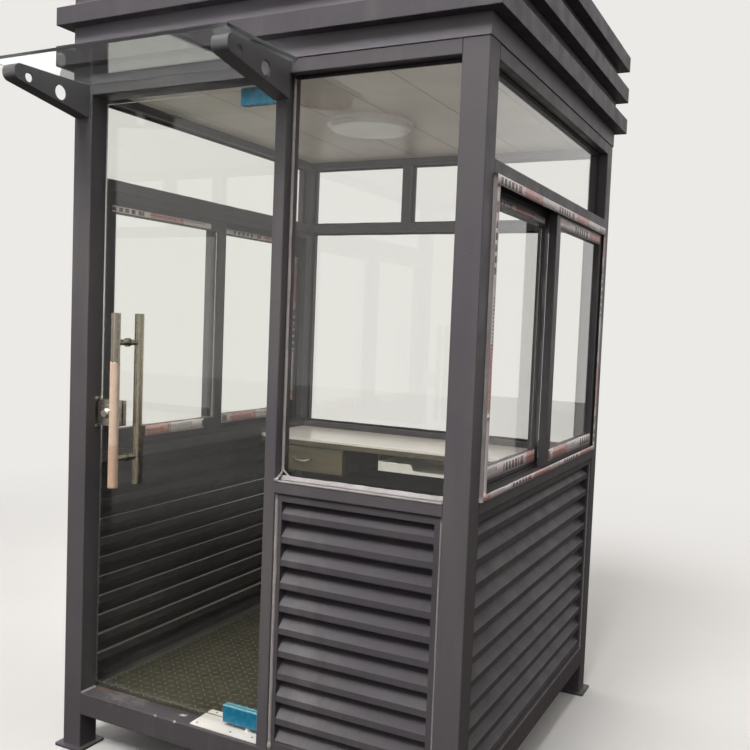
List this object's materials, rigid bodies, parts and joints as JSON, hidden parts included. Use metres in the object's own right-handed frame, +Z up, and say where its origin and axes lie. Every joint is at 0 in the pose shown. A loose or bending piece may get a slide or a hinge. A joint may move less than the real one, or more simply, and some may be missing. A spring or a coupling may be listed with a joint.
{
  "type": "security guard booth",
  "caption": "Charcoal steel guard booth with louvred lower walls, sliding windows, a glass door, banded roof, glass canopy and a desk",
  "frame": {"origin": "on the ground, under the middle of the whole booth with its canopy and roof bands", "axes": "+Z up, the glass door and canopy face -Y, +X to the right as seen from the door side"},
  "size_m": [1.59, 1.907, 2.699],
  "materials": {
    "frame_paint": "satin charcoal paint with a slight purple-brown tone",
    "louvre_paint": "satin charcoal paint on bent sheet",
    "roof_paint": "satin charcoal paint on folded sheet",
    "tread_plate_paint": "worn olive-grey paint on raised tread plate",
    "window_frame_coating": "smooth charcoal powder coating on aluminium",
    "clear_glass": "clear flat glass",
    "door_glass": "clear toughened glass with polished edges",
    "canopy_glass": "clear grey-green toughened glass",
    "stainless": "brushed stainless steel, film still on in places",
    "patch_steel": "brushed stainless cover under blue film",
    "lock_steel": "satin stainless covers and knobs",
    "spring_cover": "dull stainless cover plate",
    "ceiling_board": "cream ceiling panel",
    "lamp_cover": "cream-white flat lamp cover",
    "desk_laminate": "smooth pale laminate top",
    "desk_edge": "olive-brown laminated board",
    "cabinet_board": "olive-brown laminated board",
    "tray_plastic": "plain white plastic",
    "runner_steel": "bare zinc-coated steel"
  },
  "bodies": {
    "booth": {"base_beams": "frame_paint", "canopy_brackets": "frame_paint", "canopy_glass": "canopy_glass", "ceiling_lamp": "lamp_cover", "ceiling_panel": "ceiling_board", "desk_apron": "desk_edge", "desk_top": "desk_laminate", "drawer_cabinet": "cabinet_board", "floor_bearers": "frame_paint", "floor_plate": "tread_plate_paint", "floor_spring": "spring_cover", "front_fixed_glass": "clear_glass", "front_left_post": "frame_paint", "front_louvre": "louvre_paint", "front_mullion": "frame_paint", "front_right_post": "frame_paint", "left_louvre": "louvre_paint", "left_window_frame": "window_frame_coating", "left_window_glass": "clear_glass", "left_window_sashes": "window_frame_coating", "rear_fixed_glass": "clear_glass", "rear_left_post": "frame_paint", "rear_louvre": "louvre_paint", "rear_right_post": "frame_paint", "rear_transom_glass": "clear_glass", "rear_upper_mullions": "frame_paint", "right_louvre": "louvre_paint", "right_window_frame": "window_frame_coating", "right_window_glass": "clear_glass", "right_window_sashes": "window_frame_coating", "roof_band_lower": "roof_paint", "roof_band_middle": "roof_paint", "roof_band_upper": "roof_paint", "roof_deck": "roof_paint", "roof_fascia": "roof_paint", "side_transom_glass": "clear_glass", "sill_rails": "frame_paint", "slide_runners": "runner_steel", "strike_plate": "lock_steel", "top_pivot": "spring_cover", "top_rails": "frame_paint", "transom_rails": "frame_paint"},
    "door": {"door_glass": "door_glass", "door_bottom_patch": "patch_steel", "door_top_patch": "patch_steel", "door_pull_bars": "stainless", "door_lock": "lock_steel"},
    "drawer": {"drawer": "cabinet_board", "drawer_handle": "stainless"},
    "keyboard_tray": {"keyboard_tray": "tray_plastic"}
  },
  "joints": [
    {"name": "door_hinge", "type": "hinge", "parent": "booth", "child": "door", "pos_m": [-0.001, -0.5445, 0], "axis": [0, 0, 1], "range_deg": [-90, 90], "stiffness_Nm_per_rad": 15},
    {"name": "drawer_slide", "type": "slide", "parent": "booth", "child": "drawer", "axis": [0, -1, 0], "range_m": [0, 0.25]},
    {"name": "tray_slide", "type": "slide", "parent": "booth", "child": "keyboard_tray", "axis": [0, -1, 0], "range_m": [0, 0.22]}
  ]
}
